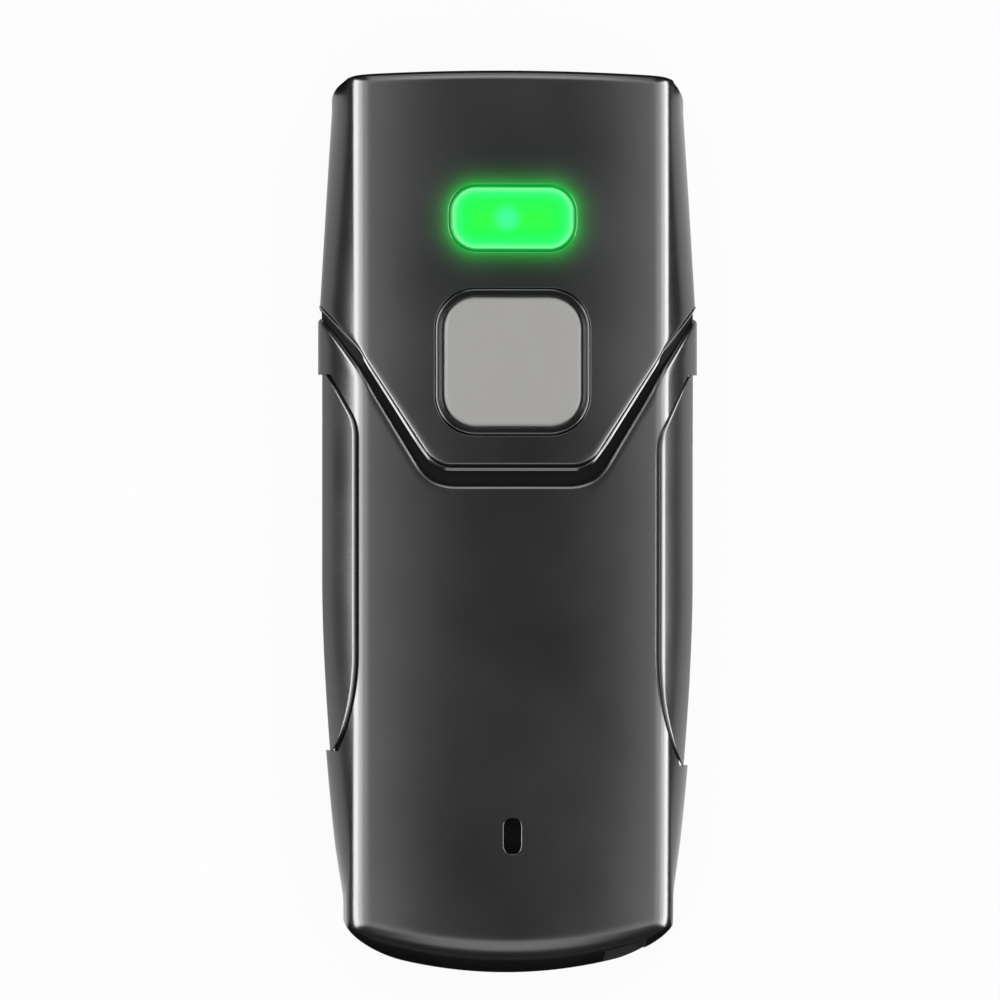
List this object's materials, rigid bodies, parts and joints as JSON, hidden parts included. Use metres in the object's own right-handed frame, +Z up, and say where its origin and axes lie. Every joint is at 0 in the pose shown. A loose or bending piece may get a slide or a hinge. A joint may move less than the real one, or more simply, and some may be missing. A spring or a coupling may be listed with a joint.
{
  "type": "pocket barcode scanner",
  "caption": "Hand-held pocket barcode scanner: a flat black case with a raked scan window in its nose, a square thumb button, a lit status lens, side grips and a strap hole in its tail.",
  "frame": {"origin": "on the table under the middle of the case, which lies on its back", "axes": "+X to the right seen from above, +Y to the nose with the scan window, +Z up out of the button"},
  "size_m": [0.0414, 0.098, 0.0253],
  "materials": {
    "satin_black_plastic": "satin moulded black",
    "gloss_black_plastic": "polished black",
    "grip_plastic": "satin black inlay",
    "grey_button_plastic": "fine matt light grey",
    "green_lens_plastic": "lit green lens",
    "clear_plastic": "clear moulded",
    "window_plastic": "dark red tinted, polished",
    "black_foam": "closed-cell foam",
    "board_laminate": "green solder mask",
    "chip_plastic": "moulded black",
    "pale_plastic": "ivory moulded",
    "bright_steel": "bright plated",
    "black_steel": "black oxide",
    "foil": "satin foil",
    "polyimide": "amber film",
    "red_wire": "red insulation",
    "black_wire": "black insulation",
    "optic_glass": "coated lens"
  },
  "bodies": {
    "housing": {"battery_cell": "foil", "battery_lead_black": "black_wire", "battery_lead_red": "red_wire", "battery_pad": "black_foam", "battery_socket": "pale_plastic", "board_screw_1": "bright_steel", "board_screw_2": "bright_steel", "board_screw_3": "bright_steel", "board_screw_4": "bright_steel", "body_cover": "satin_black_plastic", "bottom_shell": "satin_black_plastic", "button_bezel": "gloss_black_plastic", "buzzer": "chip_plastic", "case_screw_1": "black_steel", "case_screw_2": "black_steel", "case_screw_3": "black_steel", "case_screw_4": "black_steel", "engine_aimer": "optic_glass", "engine_body": "chip_plastic", "engine_bracket": "bright_steel", "engine_eye": "optic_glass", "engine_lamp": "clear_plastic", "engine_ribbon": "polyimide", "engine_screw_1": "bright_steel", "engine_screw_2": "bright_steel", "grip_left": "grip_plastic", "grip_right": "grip_plastic", "indicator_led": "pale_plastic", "indicator_lens": "green_lens_plastic", "light_guide": "clear_plastic", "main_board": "board_laminate", "nose_cover": "satin_black_plastic", "processor_chip": "chip_plastic", "radio_module": "foil", "ribbon_socket": "pale_plastic", "scan_window": "window_plastic", "seam_trim": "gloss_black_plastic", "snap_dome": "bright_steel", "sound_mesh": "black_foam", "strap_pin": "bright_steel", "switch_body": "chip_plastic", "usb_socket": "bright_steel", "usb_tongue": "chip_plastic", "window_frame": "gloss_black_plastic", "window_gasket": "black_foam"},
    "trigger": {"scan_button": "grey_button_plastic"},
    "plunger": {"switch_plunger": "pale_plastic"}
  },
  "joints": [
    {"name": "button_press", "type": "slide", "parent": "housing", "child": "trigger", "axis": [0, 0, -1], "range_m": [0, 0.0005], "stiffness_N_per_m": 3000},
    {"name": "plunger_press", "type": "slide", "parent": "housing", "child": "plunger", "axis": [0, 0, -1], "range_m": [0, 0.0005], "deforming": ["snap_dome"]}
  ],
  "couplings": [
    {"joint": "plunger_press", "follows": "button_press", "ratio": 1}
  ]
}
